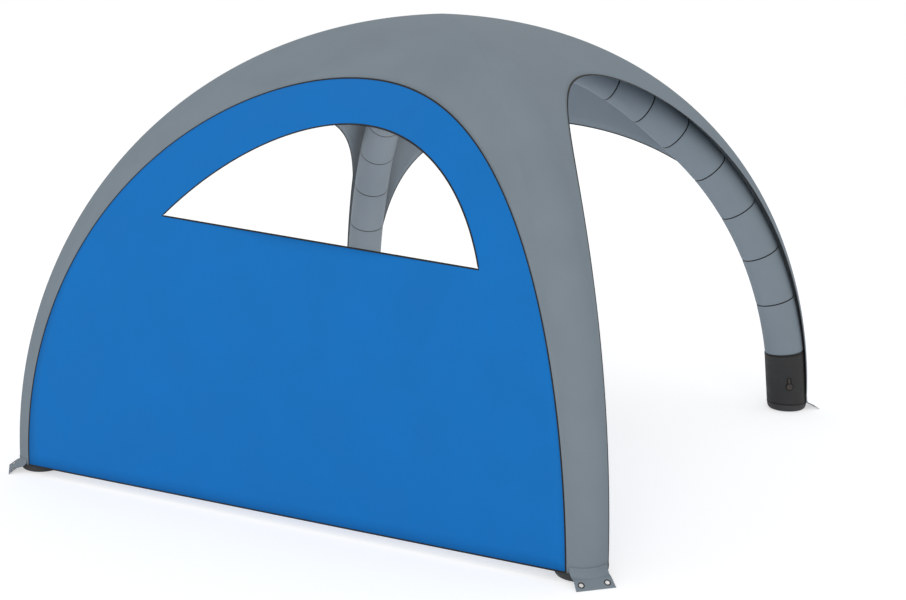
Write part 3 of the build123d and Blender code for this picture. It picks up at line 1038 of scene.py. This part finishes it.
class SHELTER_OT_beams(bpy.types.Operator):
    """Makes the four inflated air beams with their ring seams, and the hub where they meet."""

    bl_idname = "shelter.beams"
    bl_label = "Air beams"

    def execute(self, context):
        s = sizes()
        length = leg_curve()[2][-1]
        stop = length - s.hub_width / 2
        seams = self.seam_places(stop)
        ring_step, seam_reach = 0.018, 0.02
        near_seams = seams[:, None] + np.linspace(-seam_reach, seam_reach, 11)
        plain = np.arange(s.boot_height - 0.004, stop, ring_step)
        distances = np.unique(np.concatenate([plain, [stop], near_seams.ravel()]))
        radii = self.beam_radius(distances, length, seams)
        radii[0] = s.boot_radius - SLEEVE_WALL - 0.0005
        beam = self.beam_cloth("air_beam", [(distances, radii)], closed_ends=True)
        cloth = coated_cloth(
            "air_beam_cloth", colours().canopy, ripple=0.0015, mottle=0.03, roughness=0.6
        )
        made = at_corners(beam, "air_beam", cloth, replaced=["air_tube"])

        # Across the welded tape and back under it: shares of its half width, lifts off the beam
        half_shares = np.array([-1, -0.75, 0, 0.75, 1, -1])
        lifts = np.array([-0.0006, 0.0009, 0.0011, 0.0009, -0.0006, -0.0006])
        bands = []
        for seam in seams:
            rows = seam + half_shares * (s.ring_seam_width / 2)
            bands.append((rows, self.beam_radius(rows, length, seams) + lifts))
        ring_seams = self.beam_cloth("ring_seams", bands)
        tape = stitched_tape("ring_seam_tape", colours().line, s.ring_seam_width)
        at_corners(ring_seams, "ring_seams", tape)

        hub = self.hub()
        hub_cloth = coated_cloth("hub_cloth", colours().canopy, where="Object", ripple=0.002)
        finish_piece(hub, hub_cloth)
        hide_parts("crown_hub")
        return {"FINISHED"}

    def seam_places(self, stop):
        """Distances of the ring seams, closer together where the beam bends over."""
        s = sizes()
        seams = [s.boot_height + s.first_gore]
        while seams[-1] < stop - s.gore_length:
            bent = min(max((seams[-1] - s.bend_start) / (s.bend_end - s.bend_start), 0), 1)
            seams.append(seams[-1] + s.gore_length + (s.short_gore - s.gore_length) * bent)
        return np.array(seams)

    def beam_cloth(self, name, bands, closed_ends=False):
        """Cloth round a beam, from bands of rows and their radii."""
        rings = [rings_round_leg(rows, radii, BEAM_SIDES) for rows, radii in bands]
        return cloth_piece(name, rings, lambda spot: spot - BEND_MIDDLE, closed_ends)

    def beam_radius(self, distances, length, seams):
        """Taper from foot to crown, swelling between the seams and drawn in at each."""
        s = sizes()
        swell, draw, draw_reach = 0.001, 0.0035, 0.012
        growth = s.tube_radius_crown - s.tube_radius_foot
        radius = s.tube_radius_foot + growth * distances / length
        radius = radius - s.crown_narrowing * beam_rise(distances)
        gap = np.min(np.abs(distances[:, None] - seams[None]), axis=1)
        return radius + swell - draw * np.exp(-((gap / draw_reach) ** 2))

    def hub(self):
        """Rounded square chamber across the beam ends, with a neck up to the canopy's crown."""
        s = sizes()
        centre = CROWN_TOP - s.canopy_radius_crown + s.crown_lift
        roof = centre + s.hub_height / 2
        deselect()
        bpy.ops.mesh.primitive_cube_add(size=s.hub_width, location=(0, 0, centre))
        chamber = applied((1, 1, s.hub_height / s.hub_width), pi / 4)
        with editing(chamber, "EDGE"):
            bpy.ops.mesh.bevel(offset=0.028, segments=6)
        profile = [
            (roof - 0.004, 0.150),
            (roof + 0.002, 0.146),
            (roof + 0.012, 0.132),
            (CROWN_TOP - 0.024, 0.072),
            (CROWN_TOP - 0.013, 0.058),
            (CROWN_TOP - 0.0085, 0.048),
            (CROWN_TOP - 0.0055, 0.030),
            (CROWN_TOP - 0.0050, 0),
        ]
        hub = join_pieces("crown_hub_cloth", [chamber, lathe("hub_neck", profile, 96)])
        with editing(hub):
            bpy.ops.mesh.fill_holes(sides=0)
            bpy.ops.mesh.normals_make_consistent(inside=False)
        smooth(hub, ROUND_EDGE)
        return hub


class SHELTER_OT_boots(bpy.types.Operator):
    """Makes the boots: a round sleeve with the valve's hole, and a moulded sole."""

    bl_idname = "shelter.boots"
    bl_label = "Boots"

    def execute(self, context):
        cloth = heavy_cloth("boot_cloth", colours().boot)
        at_corners(self.sleeve(), "boot", cloth, replaced=["boot_sleeve"])
        rubber = moulded_rubber("sole_rubber", colours().sole)
        at_corners(self.sole(), "boot_cup", rubber, replaced=["boot_sole"])
        tape = stitched_tape("boot_hem_tape", colours().line, 0.02)
        at_corners(self.hem_bands(), "boot_hem", tape)
        return {"FINISHED"}

    def sleeve_rows(self, rows):
        """Rings round the boot from (share of the height, radius), the lowest one level."""
        foot, way, out = (np.array(v) for v in boot_frame())
        turn = np.linspace(-pi, pi, BOOT_SIDES + 1)
        ring = np.cos(turn)[:, None] * out + np.sin(turn)[:, None] * SIDEWAYS
        points, uvs = [], []
        for share, radius in rows:
            level = -radius * ring[:, 2] / way[2]
            up = level + (sizes().boot_height - level) * share
            points.append(foot + radius * ring + up[:, None] * way)
            uvs.append(np.stack([turn * radius, up], axis=1))
        return np.stack(points), np.stack(uvs)

    def sleeve(self):
        """Thick cloth up outside, over its rounded top and down inside, with the valve's hole."""
        s = sizes()
        outer, inner = s.boot_radius, s.boot_radius - SLEEVE_WALL
        rows = [(share, outer) for share in np.linspace(0, 0.985, 24)]
        rows += [(0.994, outer - 0.0006), (1.0, outer - 0.0025)]
        rows += [(1.0, inner + 0.001), (0.99, inner)]
        rows += [(share, inner) for share in np.linspace(0.94, 0, 12)]
        sleeve = cloth_piece("boot", [self.sleeve_rows(rows)], from_boot)
        build = bmesh.new()
        build.from_mesh(sleeve.data)
        bmesh.ops.bridge_loops(build, edges=[edge for edge in build.edges if edge.is_boundary])
        bmesh.ops.recalc_face_normals(build, faces=build.faces)
        build.to_mesh(sleeve.data)
        build.free()
        drill(sleeve, s.valve_radius + 0.0006, 0.1, valve_frame(), 64)
        smooth(sleeve, ROUND_EDGE)
        return sleeve

    def hem_bands(self):
        """Bound top edge of the sleeve and the weld above the sole."""
        sunk, raised = sizes().boot_radius - 0.0008, sizes().boot_radius + 0.0009
        patches = []
        for low, high in ((0.955, 0.992), (0.004, 0.030)):
            rows = [(low, sunk), (low + 0.004, raised), (high - 0.004, raised), (high, sunk)]
            patches.append(self.sleeve_rows(rows + [(low, sunk)]))
        return cloth_piece("boot_hem", patches, from_boot)

    def sole(self):
        """Cup with a rounded foot, a moulded lip and a tread."""
        top, flat = sizes().boot_radius, 0.140
        foot_low, foot_rise, tread_depth, floor_top = 0.004, 0.049, 0.0022, 0.006
        inside_top = (HEM_HEIGHT, top - SLEEVE_WALL)
        profile = [inside_top, (HEM_HEIGHT, top - 0.0015), (HEM_HEIGHT - 0.0015, top)]
        profile += [(HEM_HEIGHT - 0.009, top), (HEM_HEIGHT - 0.0105, top - 0.0018)]
        for step in range(11):
            lean = step / 10 * pi / 2
            reach = flat + (top - 0.002 - flat) * cos(lean)
            profile.append((foot_low + foot_rise * (1 - sin(lean)), reach))
        profile += [(0.0012, flat - 0.003), (0.0, flat - 0.008)]
        for tread in (0.118, 0.092, 0.066, 0.040):
            profile += [(0.0, tread + 0.008), (tread_depth, tread + 0.006)]
            profile += [(tread_depth, tread), (0.0, tread - 0.002)]
        profile += [(0.0, 0.02), (0.0, 0)]
        place = Matrix.Translation((LEG_REACH, 0, 0))
        outside = lathe("boot_cup", profile, BOOT_SIDES, place)
        lining = [inside_top, (floor_top, flat - 0.006), (floor_top, 0)]
        inside = lathe("boot_cup_inside", lining, BOOT_SIDES, place)
        with editing(inside):
            bpy.ops.mesh.flip_normals()
        whole = join_pieces("boot_cup", [outside, inside])
        finish_modifier(whole, "WELD", merge_threshold=0.00005)
        return whole


class SHELTER_OT_valves(bpy.types.Operator):
    """Makes the valve caps with their straps, and gives the barrels and plungers their finish."""

    bl_idname = "shelter.valves"
    bl_label = "Valves"

    def execute(self, context):
        plastic = moulded_plastic("fitting_plastic", colours().fitting)
        # The paler plastic is a painted highlight on the cap's and strap's outward faces
        highlight_plastic = moulded_plastic("cap_painted_highlight", colours().cap)
        cap = self.cap(plastic, highlight_plastic)
        at_corners(cap, "cap", None, "{corner}_cap", ["valve_cap"])
        at_corners(self.collar(), "valve_collar", plastic)
        at_corners(self.keeper(), "strap_keeper", plastic)
        for corner in CORNERS:
            for node in ("valve_body", "valve_plunger"):
                for slot in frame["nodes"][f"{corner}_{node}"].material_slots:
                    slot.material = plastic
        return {"FINISHED"}

    def cap(self, plastic, highlight_plastic):
        """Dished cap over the barrel, in one with its strap, both painted paler on top as a
        highlight.
        """
        s = sizes()
        inner, outer, roof_height = s.valve_radius + 0.0008, s.cap_radius, 0.0052
        profile = [
            (roof_height, inner),
            (0.0004, inner),
            (-0.0002, inner + 0.0008),
            (0.0000, outer - 0.0003),
            (0.0006, outer),
            (0.0056, outer),
            (0.0075, outer - 0.0008),
            (0.0085, outer - 0.0026),
            (0.0087, outer - 0.0050),
            (0.0078, outer - 0.0060),
            (0.0076, 0.0160),
            (0.0082, 0.0135),
            (0.0082, 0.0120),
            (0.0076, 0.0095),
            (0.0076, 0.0),
        ]
        shell = lathe("valve_cap", profile, 72)
        roof = lathe("cap_roof", [(roof_height, inner), (roof_height, 0.0)], 72)
        roof.data.flip_normals()
        cap = join_pieces("valve_cap", [shell, roof, self.strap()])
        finish_modifier(cap, "WELD", merge_threshold=0.00002)
        cap.data.materials.append(plastic)
        cap.data.materials.append(highlight_plastic)
        # Faces on the lid and the strap's top that look out of the boot take the paler plastic, a
        # painted highlight
        for polygon in cap.data.polygons:
            spot = polygon.center
            on_highlit_lid = hypot(spot.x, spot.y) < outer - 0.0055
            on_highlit_strap = outer < spot.x < outer + s.strap_length - 0.005 and abs(spot.y) < 0.0085
            if polygon.normal.z > 0.7 and (on_highlit_lid or on_highlit_strap):
                polygon.material_index = 1
        cap.data.transform(valve_frame())
        return cap

    def collar(self):
        """Low welded ring round the barrel, bent to the sleeve."""
        s = sizes()
        inner, outer, sunk = 0.0332, 0.0372, -0.004
        profile = [(sunk, inner), (0.0011, inner), (0.0014, inner + 0.0006)]
        profile += [(0.0014, outer - 0.0016), (0.0008, outer - 0.0004)]
        profile += [(sunk, outer), (sunk, inner)]
        collar = lathe("valve_collar", profile, 96)
        for vertex in collar.data.vertices:
            vertex.co.z -= s.boot_radius - sqrt(s.boot_radius**2 - vertex.co.y**2)
        collar.data.transform(valve_frame())
        return collar

    def bar(self, start, end, y, z, width, height):
        """Straight bar along X."""
        deselect()
        bpy.ops.mesh.primitive_cube_add(size=1, location=((start + end) / 2, y, z))
        return applied((end - start, width, height))

    def keeper(self):
        """Moulded rails welded to the boot on both sides of the strap."""
        s = sizes()
        start, end = 0.0315, s.cap_radius + s.strap_length + 0.001
        bars = [self.bar(start, end, y, -0.0009, 0.0062, 0.0042) for y in (-0.0178, 0.0178)]
        for bar in bars:
            with editing(bar):
                bpy.ops.mesh.bevel(offset=0.0011, segments=3)
        rails = join_pieces("strap_keeper", bars)
        smooth(rails, SOFT_EDGE)
        rails.data.transform(valve_frame())
        return rails

    def strap(self):
        """Moulded strap from under the cap to its flared end, with a sunk panel on top."""
        s = sizes()
        start, end = 0.030, s.cap_radius + s.strap_length
        strap = self.bar(start, end, 0, 0.0014, 0.026, 0.0031)

        bpy.ops.object.mode_set(mode="EDIT")
        bpy.ops.mesh.select_all(action="DESELECT")
        bpy.ops.object.mode_set(mode="OBJECT")
        for edge in strap.data.edges:
            first, second = (strap.data.vertices[i].co for i in edge.vertices)
            edge.select = min(first.x, second.x) > end - 0.001 and abs(first.z - second.z) > 0.001
        # Vertex mode is still on as the edges are chosen, so the bevel flares the strap's end
        bpy.ops.object.mode_set(mode="EDIT")
        bpy.ops.mesh.select_mode(type="EDGE")
        bpy.ops.mesh.bevel(offset=0.009, segments=8)
        bpy.ops.mesh.select_all(action="DESELECT")
        bpy.ops.object.mode_set(mode="OBJECT")
        for polygon in strap.data.polygons:
            polygon.select = polygon.normal.z > 0.9
        bpy.ops.object.mode_set(mode="EDIT")
        bpy.ops.mesh.select_mode(type="FACE")
        for thickness, depth in ((0.0008, 0.0), (0.0022, 0.0), (0.0008, -0.0007)):
            bpy.ops.mesh.inset(thickness=thickness, depth=depth)
        bpy.ops.object.mode_set(mode="OBJECT")
        smooth(strap, SOFT_EDGE)
        return strap


class SHELTER_OT_flaps(bpy.types.Operator):
    """Makes the staked flap cloths and their eyelets."""

    bl_idname = "shelter.flaps"
    bl_label = "Flaps and eyelets"

    def execute(self, context):
        s = sizes()
        fold_x = LEG_REACH + s.flap_hinge_reach
        drop = APRON_HEIGHT - s.flap_tip_height
        cloth = self.flap_cloth(fold_x, drop)
        thicken(cloth, s.cloth)
        down = Vector((s.flap_reach, 0, -drop)).normalized()
        middle = Vector((fold_x, 0, APRON_HEIGHT)) + down * hypot(s.flap_reach, drop) / 2
        spots = []
        for hand in (-1, 1):
            spot = Vector((middle.x, hand * s.eyelet_spacing / 2, middle.z))
            spots.append(frame_at(spot, down, Vector((drop, 0, s.flap_reach)).normalized()))
        for spot in spots:
            drill(cloth, s.eyelet_hole + 0.0005, 0.03, spot, 48)
        material = coated_cloth("flap_cloth", colours().canopy, thread=0.0014, ripple=0.002)
        made = at_corners(
            cloth, "flap_cloth", material, None, ["foot_apron", "anchor_flap"]
        )
        for corner, piece in made.items():
            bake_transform(piece)

        metal = aged_metal("eyelet_metal", colours().metal)
        pair = join_pieces("eyelets", [self.eyelet(spot) for spot in spots])
        at_corners(pair, "eyelets", metal, "{corner}_flap", ["flap_grommets"])
        return {"FINISHED"}

    def eyelet(self, place):
        """Rolled metal ring through the cloth, with a flat washer under it."""
        outer, hole = sizes().eyelet_radius, sizes().eyelet_hole
        profile = [
            (-0.0006, outer),
            (0.0007, outer),
            (0.0013, outer - 0.0018),
            (0.0014, outer - 0.0045),
            (0.0010, hole + 0.0014),
            (0.0002, hole + 0.0003),
            (-0.0008, hole),
            (-0.0020, hole + 0.0003),
            (-0.0026, hole + 0.0016),
            (-0.0026, outer - 0.0030),
            (-0.0018, outer - 0.0016),
            (-0.0006, outer),
        ]
        return lathe("eyelet", profile, 56, place)

    def flap_cloth(self, fold_x, drop):
        """Cloth sewn over the foot of a leg's strip, sweeping out to the fold line and down."""
        s = sizes()
        columns, apron_rows, flap_rows = 49, 19, 24
        bend_reach, bend_depth = 0.012, 0.0022
        across, ones = np.linspace(-1, 1, columns), np.ones(columns)
        radius = s.canopy_radius_foot + s.cloth + 0.0002
        foot_x = LEG_REACH + radius * np.cos(across * pi / 4)
        foot_y = radius * np.sin(across * pi / 4)
        tip_x = ones * fold_x + s.flap_reach
        fold_y, tip_y = across * s.flap_hinge_width / 2, across * s.flap_tip_width / 2
        seam, corner, fold, tip = (
            np.stack([x, y, ones * z], axis=1)
            for x, y, z in (
                (foot_x, foot_y, HEM_HEIGHT + s.flap_seam_height),
                (foot_x, foot_y, APRON_HEIGHT),
                (ones * fold_x, fold_y, APRON_HEIGHT),
                (tip_x, tip_y, APRON_HEIGHT - drop),
            )
        )
        steps = np.linspace(0, 1, apron_rows)
        rows = [(1 - t) ** 2 * seam + 2 * t * (1 - t) * corner + t**2 * fold for t in steps]
        rows += [fold + (tip - fold) * t for t in np.linspace(0, 1, flap_rows + 1)[1:]]
        points = np.stack(rows)
        # The crease at the fold line is eased over a short bend
        near = np.clip(1 - np.abs(points[..., 0] - fold_x) / bend_reach, 0, 1)
        points[..., 2] -= bend_depth * near**2
        uvs = np.stack([points[..., 1], distances_along(points)], axis=-1)
        return cloth_piece("flap_cloth", [(points, uvs)], lambda spot: Vector((0.6, 0, 1)))


class SHELTER_PT_panel(bpy.types.Panel):
    """The shelter's pieces, sizes and colours."""

    bl_idname = "SHELTER_PT_panel"
    bl_label = "Inflatable dome shelter"
    bl_space_type = "VIEW_3D"
    bl_region_type = "UI"
    bl_category = "Shelter"

    def draw(self, context):
        for operator in OPERATORS:
            self.layout.operator(operator.bl_idname)
        for group in (context.scene.shelter_sizes, context.scene.shelter_colours):
            box = self.layout.box()
            for name in group.bl_rna.properties.keys():
                if name not in ("rna_type", "name"):
                    box.prop(group, name)


OPERATORS = (
    SHELTER_OT_stage,
    SHELTER_OT_canopy,
    SHELTER_OT_wall,
    SHELTER_OT_beams,
    SHELTER_OT_boots,
    SHELTER_OT_valves,
    SHELTER_OT_flaps,
)
CLASSES = (ShelterSizes, ShelterColours, *OPERATORS, SHELTER_PT_panel)


def register():
    for each in CLASSES:
        bpy.utils.register_class(each)
    bpy.types.Scene.shelter_sizes = PointerProperty(type=ShelterSizes)
    bpy.types.Scene.shelter_colours = PointerProperty(type=ShelterColours)


def unregister():
    del bpy.types.Scene.shelter_colours
    del bpy.types.Scene.shelter_sizes
    for each in reversed(CLASSES):
        bpy.utils.unregister_class(each)


def main():
    register()
    bpy.ops.shelter.stage()
    bpy.ops.shelter.canopy()
    bpy.ops.shelter.wall()
    bpy.ops.shelter.beams()
    bpy.ops.shelter.boots()
    bpy.ops.shelter.valves()
    bpy.ops.shelter.flaps()


if __name__ == "__main__":
    main()
